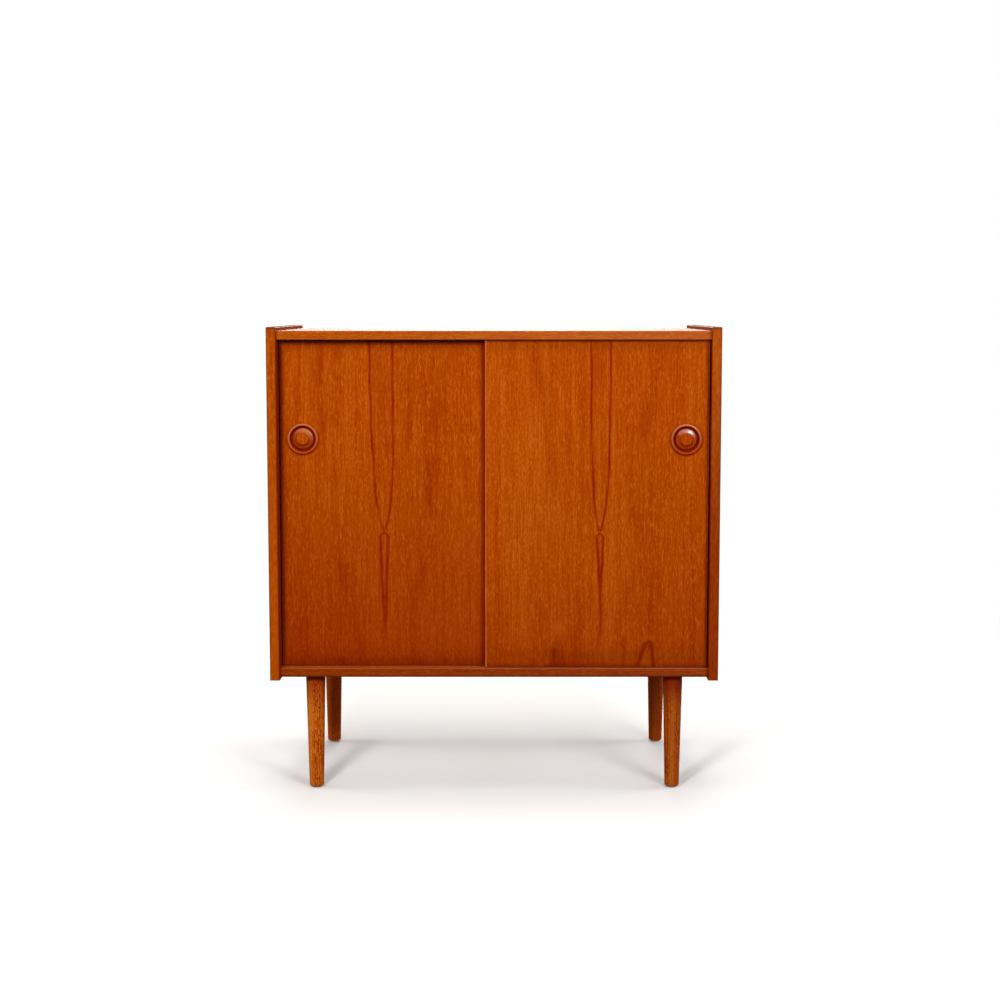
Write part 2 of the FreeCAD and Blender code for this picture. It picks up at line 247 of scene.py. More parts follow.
# Dark colours laid over the wood. The first is used only for painted shade, and the maroon mostly for painted
# shade too.
PAINTED_SHADE = tone(0.085, 0.003, 0.0001)
MAROON = tone(0.19, 0.0045, 0.0001)
UMBER = tone(0.095, 0.021, 0.0015)
case_teak = (tone(0.27, 0.036, 0.0005), tone(0.40, 0.066, 0.001), tone(0.53, 0.13, 0.012))
side_low, side_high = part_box("side_panel_right")
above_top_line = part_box("top_board")[1].z - 0.004


def side_look(place):
    """Veneer with painted shade, dark, on the inner faces in front of the doors, and darkened with umber and
    made dull on the inner faces above the top and on the upper edges. The right side has more painted shade."""
    x, y, z = place.xyz()
    inside = 1 - (abs(x) - side_low.x).rise(0.0001, 0.0006)
    inner_front_shade = inside * (1 - y.rise(side_low.y + 0.024, side_low.y + 0.034))
    above_top = inside * z.rise(above_top_line, above_top_line + 0.0002)
    dull_umber = above_top.most(z.rise(side_high.z - 0.0004, side_high.z - 0.0002))

    def marks(place):
        return [
            # Painted shade on the inner faces in front of the doors, more on the right side.
            (inner_front_shade * 0.65, MAROON),
            (inner_front_shade * past_middle(x) * 0.7, PAINTED_SHADE),
            (dull_umber * 0.7, UMBER),
        ]

    sockets = cored(teak(Z, *case_teak, 5, marks, rough=0.40), X, side_low, side_high)(place)
    sockets["Roughness"] = sockets["Roughness"] + dull_umber * 0.6
    return sockets


dress(finish("teak_side_veneer", side_look, Specular_IOR_Level=0.14), "side_panel_left", "side_panel_right")

# Lippings of the sides: solid teak strips glued on the front edges, with rounded arrises. Painted shade
# darkens their outer arrises, and their upper ends are darkened with umber. Painted light makes the left one
# brighter and redder towards its foot, and painted shade makes the right one darker.

lipping_teak = (tone(0.27, 0.034, 0.0003), tone(0.405, 0.067, 0.0006), tone(0.54, 0.132, 0.006))
umber_teak = (tone(0.17, 0.017, 0.0001), tone(0.262, 0.030, 0.0002), tone(0.375, 0.067, 0.002))


def side_lipping_marks(side, inner_shade_width, tint, tint_heights, foot_tint, top_tint=0.0):
    """The marks on one side's lipping. Painted shade lies within inner_shade_width of its inner arris. Above
    the two tint_heights the wood has a share top_tint of the tint, and below them it has foot_tint more. The
    tint is painted light on the left lipping and painted shade on the right one."""
    low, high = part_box("side_lipping_" + side)
    outer_x, inner_x = (low.x, high.x) if side == "left" else (high.x, low.x)

    def marks(place):
        x, y, z = place.xyz()
        # Painted shade on the outer arris; the upper end is darkened with umber.
        darkened_arrises = ((x - outer_x).line(0.0030) * 0.7).most((z - high.z).line(0.0065) * 0.75)
        return [
            # Painted light at the left lipping's foot; painted shade down the right one.
            ((1 - z.rise(*tint_heights)) * foot_tint + top_tint, tint),
            # Painted shade along the inner arris.
            ((x - inner_x).line(inner_shade_width) * 0.75, MAROON),
            (darkened_arrises, UMBER),
        ]

    return marks


left_marks = side_lipping_marks("left", 0.0034, tone(0.50, 0.074, 0.0004), (0.30, 0.80), 0.42)
right_marks = side_lipping_marks("right", 0.0008, MAROON, (0.45, 0.85), 0.44, 0.12)
for side, seed, marks in (("left", 20, left_marks), ("right", 22, right_marks)):
    look = teak(Z, *lipping_teak, seed, marks)
    dress(finish("teak_side_lipping_" + side, look, Specular_IOR_Level=0.05), "side_lipping_" + side)

# Boards: the top and the bottom lie between the sides on hidden beech dowels. They are veneered like the
# sides, grain along the case, and each has a solid lipping. The top lipping's arrises carry painted
# highlights. The bottom lipping is darker, with a painted highlight along its upper arris and painted shade
# at its lower one.

top_look = cored(teak(X, *case_teak, 41, rough=0.45), Z, *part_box("top_board"))
dress(finish("teak_top_veneer", top_look, Specular_IOR_Level=0.3), "top_board")
bottom_look = cored(teak(X, *case_teak, 43), Z, *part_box("bottom_board"))
dress(finish("teak_bottom_veneer", bottom_look, Specular_IOR_Level=0.25), "bottom_board")
# A pale colour: paler wood, and painted highlights on arrises and on the pulls.
PALE_AND_HIGHLIGHT = tone(0.66, 0.22, 0.085)


def board_lipping_marks(board, upper_highlight, lower_highlight_share, highlight_share, paler, lower_shade):
    """The marks on one board's lipping. A painted highlight lies on its upper arris over upper_highlight, and
    its lower arris has lower_highlight_share of it. The wood grows paler to the right, and painted shade lies
    along its lower edge."""
    low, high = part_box(board + "_board_lipping")

    def marks(place):
        x, y, z = place.xyz()
        uneven = place.drawn(X, 300, 12, 1, 47) * 0.5 + 0.1
        arris_highlight = (z - high.z).line(upper_highlight).most((z - low.z).line(0.0016) * lower_highlight_share)
        return [
            (x.rise(-0.30, 0.30) * paler, PALE_AND_HIGHLIGHT),
            # Painted shade along the lower edge.
            ((1 - z.rise(low.z, low.z + 0.006)) * lower_shade, PAINTED_SHADE),
            # Painted highlights on the arrises.
            (arris_highlight * uneven * highlight_share, PALE_AND_HIGHLIGHT),
        ]

    return marks


top_marks = board_lipping_marks("top", 0.0018, 0.75, highlight_share=0.925, paler=0.0975, lower_shade=0.0)
bottom_marks = board_lipping_marks("bottom", 0.0012, 0.0, highlight_share=0.7, paler=0.03, lower_shade=0.75)
for board, colours, marks in (("top", lipping_teak, top_marks), ("bottom", umber_teak, bottom_marks)):
    look = teak(X, *colours, 45, marks)
    dress(finish("teak_" + board + "_lipping", look, Specular_IOR_Level=0.07), board + "_board_lipping")


def beech_look(place):
    """Plain pale beech with its small brown flecks."""
    broad = place.drawn(X, 60, 5, 2, 3)
    flecks = place.drawn(X, 1300, 300, 0, 9).rise(0.66, 0.8)
    wood = broad.mix(tone(0.50, 0.30, 0.15), tone(0.62, 0.42, 0.25))
    return {
        "Base Color": (flecks * 0.5).mix(wood, tone(0.27, 0.13, 0.05)),
        "Roughness": broad * 0.1 + 0.5,
        "Relief": flecks * -0.5,
    }


beech = finish("bare_beech", beech_look, Specular_IOR_Level=0.3)
dress(beech, "top_board_dowels", "bottom_board_dowels")

# Back: a thin sheet of bare beech plywood, grain upright, let into a rebate round the case. Small slotted
# screws hold it all round, zinc plated and gone dull.


def plywood_look(place):
    """Peeled beech veneer. Its growth lines run in long flames, soft on one side and sharp on the other,
    over fine streaks and short brown flecks."""
    x, y, z = place.xyz()
    sway = place.drawn(Z, 3.4, 0.6, 1, 17) * 16 + place.drawn(Z, 30, 2.5, 2, 18) * 0.5
    year = (sway + x * 7).math("FRACT")
    streaks = place.drawn(Z, 420, 9, 2, 19)
    late = year.rise(0.45, 0.94) * (1 - year.rise(0.94, 1.0)) * (streaks * 0.8 + 0.3).least(1.0)
    flecks = place.drawn(Z, 1100, 130, 0, 23).rise(0.6, 0.9)
    ground = streaks * 0.5 + place.drawn(Z, 30, 2, 1, 27) * 0.5
    wood = ground.mix(tone(0.50, 0.30, 0.145), tone(0.60, 0.39, 0.21))
    wood = (late * 0.55).mix(wood, tone(0.36, 0.18, 0.070))
    return {
        "Base Color": (flecks * 0.35).mix(wood, tone(0.22, 0.105, 0.04)),
        "Roughness": streaks * 0.1 + 0.55,
        "Relief": streaks * 0.2 - flecks * 0.4,
    }


dress(finish("bare_plywood", plywood_look, Specular_IOR_Level=0.3), "back_panel")


def zinc_look(place):
    """Zinc plate gone dull and brown: small cloudy spangles and fine scuffs."""
    cloud = place.drawn(Z, 500, 420, 2, 3)
    scuffs = place.drawn(X, 2600, 180, 1, 5).rise(0.62, 0.9)
    return {
        "Base Color": cloud.mix(tone(0.10, 0.060, 0.034), tone(0.24, 0.17, 0.11)),
        "Roughness": cloud * 0.18 + scuffs * 0.2 + 0.34,
        "Relief": scuffs * -0.3,
    }


zinc = finish("zinc_plate", zinc_look, Metallic=1.0)


def solids(node):
    """The lowest and highest corner of each solid in a CAD node, in order of their places."""
    mesh = bmesh.new()
    mesh.from_mesh(frame["nodes"][node].data)
    bmesh.ops.remove_doubles(mesh, verts=mesh.verts, dist=0.00001)
    waiting = set(mesh.verts)
    boxes = []
    while waiting:
        group = {waiting.pop()}
        newest = list(group)
        while newest:
            near = {link.other_vert(vert) for vert in newest for link in vert.link_edges} - group
            group |= near
            newest = list(near)
        waiting -= group
        places = [vert.co for vert in group]
        boxes.append([Vector(pick(place[i] for place in places) for i in range(3)) for pick in (min, max)])
    mesh.free()
    return sorted(boxes, key=lambda box: tuple(box[0]))


def turn(outline, count):
    """A closed mesh turned about Z in count steps. The outline is (radius, height) points from axis to axis.
    On the axis a ring is one point, and its faces are triangles."""
    mesh = bmesh.new()
    rings = []
    for radius, height in outline:
        angles = [2 * math.pi * i / count for i in range(count)] if radius else [0]
        rings.append([mesh.verts.new((radius * math.cos(a), radius * math.sin(a), height)) for a in angles])
    for below, above in zip(rings, rings[1:]):
        for i in range(count):
            around = ((below, i), (below, i + 1), (above, i + 1), (above, i))
            corners = [ring[j % len(ring)] for ring, j in around]
            mesh.faces.new(list(dict.fromkeys(corners)))
    bmesh.ops.recalc_face_normals(mesh, faces=mesh.faces)
    return mesh


def slotted_screw(head_radius, head_height, shank_radius, shank_length, slot_width, slot_depth):
    """A screw whose domed head rises from z = 0, with a straight driver slot, and its shank below. The slot
    is cut down between two lines on each side of the middle, a wall's width apart."""
    steps = 6
    dome = [(head_radius * math.cos(a), head_height * math.sin(a))
            for a in (math.pi / 2 * i / steps for i in range(steps))]
    outline = [(0, -shank_length), (shank_radius, -shank_length + 2 * shank_radius), (shank_radius, 0)]
    mesh = turn(outline + dome + [(0, head_height)], 32)
    wall = slot_width * 0.08
    for across in (slot_width / 2, slot_width / 2 - wall):
        for sign in (-1, 1):
            everything = mesh.verts[:] + mesh.edges[:] + mesh.faces[:]
            bmesh.ops.bisect_plane(mesh, geom=everything, plane_co=(sign * across, 0, 0),
                                   plane_no=(1, 0, 0), dist=0.000001)
    for vert in mesh.verts:
        if abs(vert.co.x) < slot_width / 2 - wall / 2:
            vert.co.z = min(vert.co.z, head_height - slot_depth)
    return mesh


def add_piece(name, mesh, material, body, slot, *nodes):
    """Makes an object of a finished mesh. It rides on a body and stands for CAD nodes."""
    data = bpy.data.meshes.new(name)
    mesh.to_mesh(data)
    mesh.free()
    data.materials.append(material)
    data.shade_smooth()
    data.set_sharp_from_angle(angle=math.radians(32))
    piece = bpy.data.objects.new(name, data)
    bpy.context.scene.collection.objects.link(piece)
    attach(piece, body)
    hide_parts(*nodes)


def add_screws(name, node, sizes, facing, seed):
    """One slotted screw for each solid in a CAD node, its slot turned at random. facing is the way its
    head looks, along an axis."""
    dice = random.Random(seed)
    whole = bmesh.new()
    upright = Vector((0, 0, 1)).rotation_difference(Vector(facing)).to_matrix().to_4x4()
    for low, high in solids(node):
        seat = (low + high) / 2
        for axis, way in enumerate(facing):
            if way:
                seat[axis] = (high[axis] if way > 0 else low[axis]) - way * sizes["head_height"]
        one = slotted_screw(**sizes)
        spin = Matrix.Rotation(dice.uniform(0, math.pi), 4, "Z")
        bmesh.ops.transform(one, matrix=Matrix.Translation(seat) @ upright @ spin, verts=one.verts)
        part = bpy.data.meshes.new("part")
        one.to_mesh(part)
        whole.from_mesh(part)
        bpy.data.meshes.remove(part)
        one.free()
    add_piece(name, whole, zinc, "case", "zinc_steel", node)


back_screw = {
    "head_radius": 0.0029, "head_height": 0.0011,
    "shank_radius": 0.00125, "shank_length": 0.0129,
    "slot_width": 0.0009, "slot_depth": 0.0007,
}
add_screws("back_screws", "back_panel_screws", back_screw, (0, 1, 0), 7)

# Slide strips: strips of hard brown fibre, laid on the floor of each lower groove so that the doors slide
# easily. The doors have polished them a little.


def fibre_look(place):
    """Brown fibre with fine speckles, and long rubbed streaks along the groove."""
    speckle = place.drawn(X, 900, 500, 2, 3)
    rubbed = place.drawn(X, 400, 4, 1, 5)
    return {
        "Base Color": speckle.mix(tone(0.035, 0.016, 0.009), tone(0.10, 0.05, 0.03)),
        "Roughness": 0.55 - rubbed * 0.2,
        "Relief": speckle * 0.4,
    }


dress(finish("brown_fibre", fibre_look, Specular_IOR_Level=0.4), "slide_strip_front", "slide_strip_rear")

# Doors: two veneered panels cut from neighbouring leaves, so both show one figure: two dark lines that run
# down to a point, a narrow lens below it, soft flames outside, and peaks at the foot. Thin solid lippings
# close their upright edges, and beech tongues above and below run in the grooves.

door_teak = (tone(0.292, 0.031, 0.0001), tone(0.410, 0.057, 0.0002), tone(0.532, 0.118, 0.006))
pale_teak = (tone(0.36, 0.060, 0.001), tone(0.47, 0.100, 0.004), tone(0.58, 0.16, 0.03))
shaded_teak = (tone(0.12, 0.007, 0.0001), tone(0.20, 0.014, 0.0002), tone(0.27, 0.030, 0.001))
# The figure's colour also serves as painted shade at the doors' feet and on the legs.
FIGURE_AND_SHADE = tone(0.24, 0.008, 0.0001)
PEAK = tone(0.20, 0.012, 0.0001)
# Painted shade by the doors' edges, and a painted shadow beside the front door's edge.
EDGE_SHADE = tone(0.120, 0.0022, 0.0001)
FRONT_EDGE_SHADOW = tone(0.28, 0.010, 0.0001)

# Heights: the point of the two lines, the lens's upper end, the doors' lower edges, and how far the pale
# wood round a peak reaches above its tip.
POINT = 0.500
LENS_TOP = 0.496
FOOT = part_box("door_left_panel")[0].z
HALO = 0.024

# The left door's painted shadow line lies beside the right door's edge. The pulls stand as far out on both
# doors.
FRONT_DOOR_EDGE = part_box("door_right_panel")[0].x - 0.0043
pull_low, pull_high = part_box("door_right_pull")
PULL_OUT = (pull_low.x + pull_high.x) / 2
PULL_HEIGHT = (pull_low.z + pull_high.z) / 2
PULL_RADIUS = (pull_high.x - pull_low.x) / 2


def peak(x, z, tip, feet, legs=(0.0, 0.0), dark=0.0, pale=0.0, halo=0.0):
    """A pointed arch of the figure at a door's foot, as its share of dark wood and its share of pale wood.
    tip is the x and z of its tip, and feet the x of its two legs at FOOT. The other numbers are strengths:
    of the left and the right leg, of dark and of pale wood between them, and of the pale wood round it."""

    def flank(tip_x, tip_z, foot_x):
        fall = ((tip_z - z).most(0.0) / (tip_z - FOOT)) ** 0.5
        return x - tip_x - fall * (foot_x - tip_x)

    tip_x, tip_z = tip
    left, right = flank(tip_x, tip_z, feet[0]), flank(tip_x, tip_z, feet[1])
    width = z.rise(tip_z - 0.022, tip_z - 0.006) * 0.004 + 0.0064
    drawn = (left.line(width) * legs[0]).most(right.line(width) * legs[1])
    drawn = drawn * (1 - z.rise(tip_z - 0.003, tip_z + 0.005))
    inside = left.rise(-0.003, 0.008) * (1 - right.rise(-0.008, 0.003)) * (1 - z.rise(FOOT, tip_z))
    around = flank(tip_x, tip_z + HALO, feet[0] - 0.008).rise(-0.005, 0.005)
    around = around * (1 - flank(tip_x, tip_z + HALO, feet[1] + 0.008).rise(-0.005, 0.005))
    around = around * z.rise(tip_z - 0.020, tip_z + 0.004) * (1 - z.rise(tip_z + 0.006, tip_z + HALO))
    return drawn.most(inside * dark), (inside * pale).most(around * halo)


def door_marks(side, centre, lean, half_width, lens_foot, lens_half, flames, peaks, shade_top, foot_shade_share,
               outer_shade_width, outer_shade_share, top_shade_height, upper_shade_share, shadow_share=0.0, front_edge_shadow=0.0):
    """What lies over a door's plain wood.

    The figure's middle line is at centre, and leans. The two lines lie up to half_width from it and meet at
    POINT. The lens narrows from lens_half to nothing at lens_foot. A flame is its distance from the middle at
    the foot, and how fast that grows upwards. From shade_top down, painted shade makes the wood redder and
    darker by up to foot_shade_share. Painted shade darkens the door: a share outer_shade_share of it within
    outer_shade_width of the outer edge, a line top_shade_height high along the upper edge, upper_shade_share
    that fades out below that line, and more at the foot. A glue line runs along the inner edge, and a painted
    shadow rings the pull, stronger below it. The rear door is darker still, by shadow_share of painted shade,
    near its upper, lower and outer edges, and has a painted shadow of front_edge_shadow at the front door's
    edge.
    """
    low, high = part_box("door_" + side + "_panel")
    pull_x = -PULL_OUT if side == "left" else PULL_OUT

    def marks(place):
        x, y, z = place.xyz()
        sway = (place.drawn(Z, 5, 7, 1, 63) - 0.5) * 0.004 + (place.drawn(Z, 4, 34, 2, 65) - 0.5) * 0.0017
        aside = x - centre + sway
        leaning = aside + (z - POINT) * lean
        opening = (1 - (((z - POINT).most(0.0) / 0.06) ** 0.8 * -1.0).math("EXPONENT")) * half_width
        lines = (abs(leaning) - opening).line(0.0040) * z.rise(POINT - 0.007, POINT + 0.002)
        cap = ((LENS_TOP - z).most(0.0) / 0.008) ** 0.5 * lens_half
        taper = (z - lens_foot).most(0.0) * (lens_half / (LENS_TOP - lens_foot))
        lens = (abs(aside) - cap.least(taper)).line(0.0050) * z.rise(FOOT + 0.02, FOOT + 0.10)
        lens = lens * (1 - z.rise(LENS_TOP, LENS_TOP + 0.003))
        uneven = place.drawn(Z, 40, 22, 2, 71) * 0.6 + 0.45
        figure = lines.most(lens) * uneven

        between = 1 - (abs(leaning) / (opening + 0.0001)).rise(0.7, 1.3)
        soft = between * z.rise(POINT, POINT + 0.28) * 0.5
        wander = (place.drawn(Z, 6, 5, 1, 67) - 0.5) * 0.035
        for start, slope in flames:
            soft = soft.most((aside - start - (z - FOOT) * slope + wander).line(0.019))
        patchy = place.drawn(Z, 34, 11, 2, 69).rise(0.30, 0.75) * 0.85 + 0.15

        dark_wood = pale_wood = z * 0.0
        for shape in peaks:
            dark, pale = peak(x + sway, z, **shape)
            dark_wood, pale_wood = dark_wood.most(dark), pale_wood.most(pale)

        from_low, from_high = x - low.x, high.x - x
        outer, inner = (from_low, from_high) if side == "left" else (from_high, from_low)
        # Painted shade by the edges and at the foot, with a glue line along the inner edge.
        edge_shade_and_glue = ((1 - outer.rise(0.0, outer_shade_width)) * outer_shade_share).most(inner.line(0.0016) * 0.4)
        edge_shade_and_glue = edge_shade_and_glue.most(z.rise(high.z - top_shade_height - 0.002, high.z - top_shade_height) * 0.75)
        edge_shade_and_glue = edge_shade_and_glue.most(z.rise(high.z - 0.026, high.z - 0.004) * upper_shade_share)
        foot_shade = (1 - z.rise(FOOT - 0.002, FOOT + 0.060)) * 0.24
        edge_shade_and_glue = edge_shade_and_glue.most(foot_shade + (1 - z.rise(FOOT - 0.002, FOOT + 0.010)) * 0.42)
        # Painted shade on the rear door near its upper, lower and outer edges.
        shadow = z.rise(high.z - 0.0125, high.z - 0.0070).most((1 - z.rise(FOOT, FOOT + 0.034)) * 0.75)
        shadow = shadow.most((1 - outer.rise(0.001, 0.010)) * 0.85)

        up = (z - PULL_HEIGHT) / PULL_RADIUS
        ring = ((x - pull_x) ** 2 + (z - PULL_HEIGHT) ** 2) ** 0.5 - PULL_RADIUS
        return [
            (soft * patchy * 0.36, FIGURE_AND_SHADE),
            # Painted shade: redder and darker towards the foot.
            ((1 - z.rise(FOOT, shade_top)) * foot_shade_share, FIGURE_AND_SHADE),
            # Painted shadow beside the front door's edge.
            ((x - FRONT_DOOR_EDGE).line(0.0085) * front_edge_shadow, FRONT_EDGE_SHADOW),
            (pale_wood, door_teak[2]),
            (dark_wood, PEAK),
            (figure.least(0.9), FIGURE_AND_SHADE),
            (edge_shade_and_glue.most(shadow * shadow_share), EDGE_SHADE),
            # Painted shadow round the pull, stronger below it.
            (ring.line(0.0054) * (0.58 - up * 0.37).least(0.95), MAROON),
        ]

    return marks


left_peaks = (
    {"tip": (-0.289, 0.274), "feet": (-0.2940, -0.2835), "legs": (0.10, 0.10), "dark": 0.90, "halo": 0.10},
    {"tip": (-0.141, 0.268), "feet": (-0.1470, -0.1350), "legs": (0.05, 0.05), "dark": 0.70, "halo": 0.05},
)
right_peaks = (
    {"tip": (0.2958, 0.290), "feet": (0.2752, 0.3040), "legs": (0.78, 0.82), "pale": 0.30, "halo": 0.22},
    {"tip": (0.1220, 0.312), "feet": (0.1020, 0.1400), "dark": 0.62, "halo": 0.26},
    {"tip": (0.1145, 0.276), "feet": (0.1140, 0.1140), "legs": (0.75, 0.0)},
    {"tip": (0.1700, 0.290), "feet": (0.1350, 0.2250), "dark": 0.24},
    {"tip": (0.2480, 0.298), "feet": (0.2470, 0.2470), "legs": (0.42, 0.0)},
)
left_door_marks = door_marks(
    "left", centre=-0.2085, lean=0.018, half_width=0.0220, lens_foot=0.300, lens_half=0.0080,
    flames=((-0.052, -0.125), (0.052, 0.110)), peaks=left_peaks, shade_top=0.66, foot_shade_share=0.445,
    outer_shade_width=0.006, outer_shade_share=0.75, top_shade_height=0.0035, upper_shade_share=0.42, shadow_share=0.65, front_edge_shadow=0.90,
)
right_door_marks = door_marks(
    "right", centre=0.2012, lean=0.003, half_width=0.0185, lens_foot=0.385, lens_half=0.0066,
    flames=((-0.040, -0.140), (0.034, 0.120)), peaks=right_peaks, shade_top=0.48, foot_shade_share=0.26,
    outer_shade_width=0.003, outer_shade_share=0.45, top_shade_height=0.002, upper_shade_share=0.22,
)
inner_lipping = finish("teak_inner_lipping", teak(Z, *pale_teak, 93), Specular_IOR_Level=0.2)
doors = (("left", left_door_marks, shaded_teak), ("right", right_door_marks, umber_teak))
for side, marks, lipping_colours in doors:
    door = "door_" + side
    dress(finish("teak_" + door, teak(Z, *door_teak, 81, marks), Specular_IOR_Level=0.015), door + "_panel")
    outer_look = teak(Z, *lipping_colours, 91)
    outer_lipping = finish("teak_outer_lipping_" + side, outer_look, Specular_IOR_Level=0.1)
    dress(outer_lipping, door + "_outer_lipping")
    dress(inner_lipping, door + "_inner_lipping")
    dress(beech, door + "_top_tongue", door + "_bottom_tongue")

# Pulls: turned from solid teak, grain upright, lacquered to a soft gloss and let into the doors. From the
# middle outwards, each has a flat boss, a sloping shoulder, a deep groove and a rounded rim.

pull_teak = (tone(0.26, 0.024, 0.0002), tone(0.40, 0.052, 0.0005), tone(0.52, 0.105, 0.006))
BOSS_EDGE = (0.0108, 0.0122)
SHOULDER_EDGE = (0.0190, 0.0202)


def pull_look(place):
    """Polished teak. Painted shade lies dark in the groove, and a painted shadow at the lower foot of the
    boss.
    The rim is paler, with a painted highlight above and painted shade below, and a painted sheen lies on the
    upper shoulder, most on the left pull. The gloss is left on their upper parts, and there is little of it
    on the left pull."""
    x, y, z = place.xyz()
    right = past_middle(x)
    up = (z - PULL_HEIGHT) / PULL_RADIUS
    aside = (x - (right * 2 - 1) * PULL_OUT) / PULL_RADIUS
    radius = ((abs(x) - PULL_OUT) ** 2 + (z - PULL_HEIGHT) ** 2) ** 0.5
    boss_foot_shadow = radius.rise(0.0104, 0.0114) * (1 - radius.rise(0.0128, 0.0165))
    shoulder = radius.rise(*BOSS_EDGE) * (1 - radius.rise(*SHOULDER_EDGE))
    groove = radius.rise(*SHOULDER_EDGE) * (1 - radius.rise(0.0240, 0.0250))
    rim = radius.rise(0.0245, 0.0256) * (1 - radius.rise(0.0283, 0.0290))
    polish = (up * 3.0 + aside * 0.4 - 0.45).most(0.0).least(1.0) * (right * 0.85 + 0.15)

    def marks(place):
        return [
            # Painted shade in the groove.
            (groove * 0.94, tone(0.21, 0.005, 0.0003)),
            (shoulder * 0.30, MAROON),
            # Painted shadow below the boss.
            (boss_foot_shadow * (0.20 - up * 0.9).most(0.0).least(0.75), MAROON),
            # Painted shade on the rim's lower part.
            (rim * (0.05 - up * 0.25 + right * 0.12).most(0.0), MAROON),
            # A paler rim, with a painted highlight growing upwards.
            (rim * (up * 0.24 + 0.32), PALE_AND_HIGHLIGHT),
            # A painted sheen on the upper shoulder, most on the left pull.
            (shoulder * (0.85 - right * 0.65) * (up + aside * 0.4).most(0.0), PALE_AND_HIGHLIGHT),
        ]

    sockets = teak(Z, *pull_teak, 101, marks, rough=0.36)(place)
    sockets["Coat Weight"] = polish * (rim * 0.30 + shoulder)
    return sockets


pull_finish = finish("teak_pull", pull_look, Specular_IOR_Level=0.0, Coat_Roughness=0.30, Coat_IOR=2.1)
dress(pull_finish, "door_left_pull", "door_right_pull")

# Shelves: two loose veneered shelves, grain along the case, each with a solid lipping on its front edge.
# Each lies on four turned brass pins that are pushed into holes in the sides.

shelf_finish = finish("teak_shelf_veneer", teak(X, *case_teak, 111), Specular_IOR_Level=0.25)
shelf_lipping = finish("teak_shelf_lipping", teak(X, *lipping_teak, 113), Specular_IOR_Level=0.2)


def brass_look(place):
    """Drawn brass gone a little brown."""
    tarnish = place.drawn(X, 350, 120, 2, 3)
    return {
        "Base Color": tarnish.mix(tone(0.74, 0.52, 0.20), tone(0.48, 0.30, 0.11)),
        "Roughness": tarnish * 0.2 + 0.2,
        "Relief": tarnish * 0.2,
    }


brass = finish("drawn_brass", brass_look, Metallic=1.0)
for shelf in ("shelf_lower", "shelf_upper"):
    dress(shelf_finish, shelf)
    dress(shelf_lipping, shelf + "_lipping")
    dress(brass, shelf + "_pins")

# Legs: four tapered legs turned from solid teak, each held by a hanger bolt to a zinc plate that four
# slotted screws fix under the bottom board, and each with a nylon glide nailed on.

leg_teak = (tone(0.33, 0.043, 0.0005), tone(0.585, 0.112, 0.002), tone(0.74, 0.22, 0.018))
leg_low, leg_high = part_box("leg_front_right")
LEG_OUT = (leg_low.x + leg_high.x) / 2
LEG_DEEP = abs(leg_low.y + leg_high.y) / 2


def leg_marks(place):
    """Growth rings, cut by the taper into long points, from a heart beside the leg. Short dark and pale
    flecks lie over them, and a paler band, a painted highlight, runs down each leg. All the legs redden at
    the top. Painted shade makes the rear legs redder and darker, darkens the tops under the case, and makes
    the legs on the right darker."""
    x, y, z = place.xyz()
    right, rear = past_middle(x), past_middle(y)
    across = abs(x) - LEG_OUT + 0.03
    through = abs(y) - LEG_DEEP - 0.018
    wander = place.drawn(Z, 30, 6, 1, 121)
    ring = ((across ** 2 + through ** 2) ** 0.5 * 1500 + wander * 5).math("SINE")
    mottle = place.drawn(Z, 430, 190, 1, 127)
    patch = place.drawn(Z, 60, 16, 1, 131).rise(0.15, 0.60)
    aside = x - (right * 2 - 1) * LEG_OUT
    highlight_band = (aside + 0.0085 - right * 0.0065 + (wander - 0.5) * 0.006).line(0.0075)
    # Painted shade under the case at the top of each leg, less on the right.
    top = z.rise(leg_high.z - 0.015, leg_high.z - 0.006) * (1 - right * 0.35)
    return [
        (mottle.rise(0.52, 0.80) * patch * 0.75, leg_teak[2]),
        (ring.rise(0.30, 1.0) * 0.45 + mottle.rise(0.50, 0.18) * patch * 0.80, FIGURE_AND_SHADE),
        # Painted highlight: the pale band down each leg.
        (highlight_band * 0.55, leg_teak[2]),
        # Painted shade: the rear legs redder and darker.
        (rear * (0.62 - right * 0.20), tone(0.46, 0.040, 0.0006)),
        (z.rise(leg_high.z - 0.08, leg_high.z) * 0.68 + right * 0.24, FIGURE_AND_SHADE),
        # Painted shade: the legs on the right darker.
        (right * (z * 0.55 + 0.16), PAINTED_SHADE),
        (top * 0.9, MAROON),
    ]


leg_finish = finish("teak_leg", teak(Z, *leg_teak, 123, leg_marks), Specular_IOR_Level=0.08)


def nylon_look(place):
    """Off-white moulded nylon, scuffed under the foot."""
    cloud = place.drawn(Z, 400, 400, 2, 3)
    x, y, z = place.xyz()
    scuffed = (1 - z.rise(0.0002, 0.0012)) * cloud
    wear = (scuffed * 0.6).mix(tone(0.68, 0.66, 0.60), tone(0.36, 0.33, 0.28))
    return {"Base Color": wear, "Roughness": cloud * 0.1 + 0.4 + scuffed * 0.2, "Relief": cloud * 0.2}


nylon = finish("white_nylon", nylon_look, Specular_IOR_Level=0.4)
dress(zinc, "leg_hanger_bolts")
for corner in ("front_left", "front_right", "rear_left", "rear_right"):
    dress(leg_finish, "leg_" + corner)
    dress(zinc, "leg_plate_" + corner)
    dress(nylon, "foot_glide_" + corner)
plate_screw = {
    "head_radius": 0.0034, "head_height": 0.0019,
    "shank_radius": 0.00175, "shank_length": 0.0094,
    "slot_width": 0.0010, "slot_depth": 0.0010,
}
add_screws("plate_screws", "leg_plate_screws", plate_screw, (0, 0, -1), 11)

# Floor: a plain pale floor. It keeps the object's shadow and fades to white away from it. Only the camera
# sees it so pale: it throws little light back under the case.

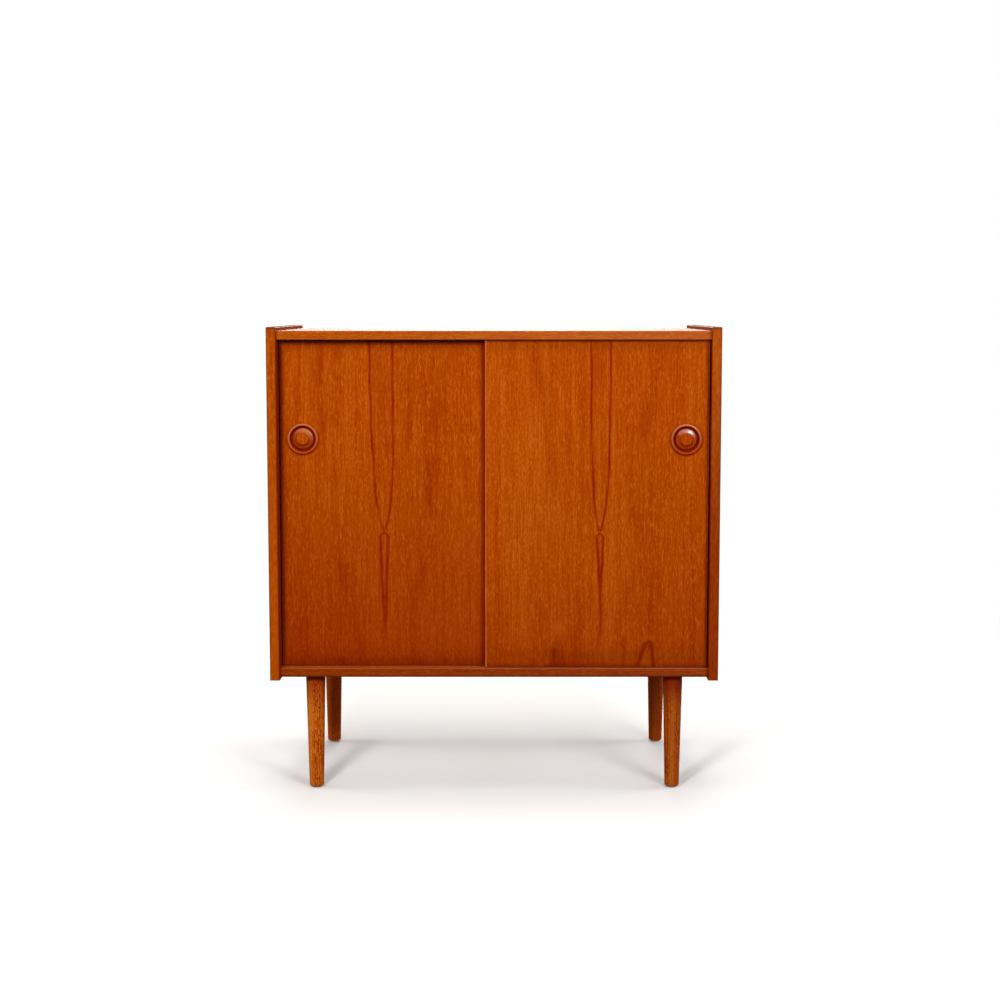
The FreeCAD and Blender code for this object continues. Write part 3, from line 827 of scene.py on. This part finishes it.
disc = bmesh.new()
bmesh.ops.create_circle(disc, cap_ends=True, segments=128, radius=30)
floor_mesh = bpy.data.meshes.new("floor")
disc.to_mesh(floor_mesh)
disc.free()
floor = bpy.data.objects.new("floor", floor_mesh)
bpy.context.scene.collection.objects.link(floor)
white = tone(1, 1, 1)
floor_finish = bpy.data.materials.new("pale_floor")
floor_finish.use_nodes = True
floor_finish.node_tree.nodes.clear()
start = Shade(floor_finish.node_tree)
place = start.node("ShaderNodeTexCoord", output="Object")
away = place.node("ShaderNodeVectorMath", {"operation": "LENGTH"}, {0: place}, "Value")
seen = start.node("ShaderNodeLightPath", output="Is Camera Ray")
pale = seen.mix(tone(0.20, 0.19, 0.18), tone(0.98, 0.97, 0.95))
matt = start.node("ShaderNodeBsdfDiffuse", {}, {"Color": pale})
glow = start.node("ShaderNodeEmission", {}, {"Color": white, "Strength": 1.0})
fading = start.node("ShaderNodeMixShader", {}, {0: away.rise(0.3, 2.2) * seen, 1: matt, 2: glow})
fading.end("ShaderNodeOutputMaterial")
floor_mesh.materials.append(floor_finish)

# Lamps: soft round lamps, one on each side in front, one above, one behind, and one far out on each side.
# The left front one and the two far ones show in no gloss, so each pull has one highlight. The world adds an
# even light, and is white where the camera, gloss or glass looks at it.


def add_lamp(name, place, aim, size, watts, mirrored=True):
    """A round lamp at a place, turned to the point that it aims at."""
    data = bpy.data.lights.new(name, "AREA")
    data.shape = "DISK"
    data.size = size
    data.energy = watts
    lamp = bpy.data.objects.new(name, data)
    lamp.visible_camera = False
    lamp.visible_glossy = mirrored
    lamp.location = place
    lamp.rotation_euler = (Vector(aim) - Vector(place)).to_track_quat("-Z", "Y").to_euler()
    bpy.context.scene.collection.objects.link(lamp)


add_lamp("lamp_left", (-0.80, -2.30, 1.54), (0, 0, 0.62), 0.45, 34, mirrored=False)
add_lamp("lamp_right", (1.25, -2.10, 1.54), (0, 0, 0.62), 0.8, 24)
add_lamp("lamp_above", (0, 0.2, 3.0), (0, 0, 0.5), 2.4, 42)
add_lamp("lamp_rear", (0, 3.4, 2.0), (0, 0, 0.5), 2.0, 54)
for side, name in ((-1, "lamp_far_left"), (1, "lamp_far_right")):
    add_lamp(name, (side * 3.2, 0.5, 1.3), (side * 0.4, 0, 0.55), 1.6, 26, mirrored=False)

world = bpy.data.worlds.new("soft_room")
bpy.context.scene.world = world
world.use_nodes = True
world.node_tree.nodes.clear()
start = Shade(world.node_tree)
looking = start.node("ShaderNodeLightPath", output="Is Camera Ray")
for ray in ("Is Glossy Ray", "Is Transmission Ray"):
    looking = looking.most(start.node("ShaderNodeLightPath", output=ray))
even_light = 0.26
strength = looking * (1 - even_light) + even_light
sky = start.node("ShaderNodeBackground", {}, {"Color": white, "Strength": strength})
sky.end("ShaderNodeOutputWorld")

# Camera: where the photograph was taken from, a little above the top of the case and to the right of its
# middle, looking down by 5 degrees. The shift frames the object as the photograph does.

camera_data = bpy.data.cameras.new("camera")
camera_data.sensor_width = 36
camera_data.lens = 57.12
camera_data.shift_y = -0.0468
camera = bpy.data.objects.new("camera", camera_data)
camera.location = (0.0112, -3.1631, 0.9187)
camera.rotation_euler = (math.radians(90 - 5.179), 0, 0)
bpy.context.scene.collection.objects.link(camera)
bpy.context.scene.camera = camera
bpy.context.scene.view_settings.view_transform = "Standard"
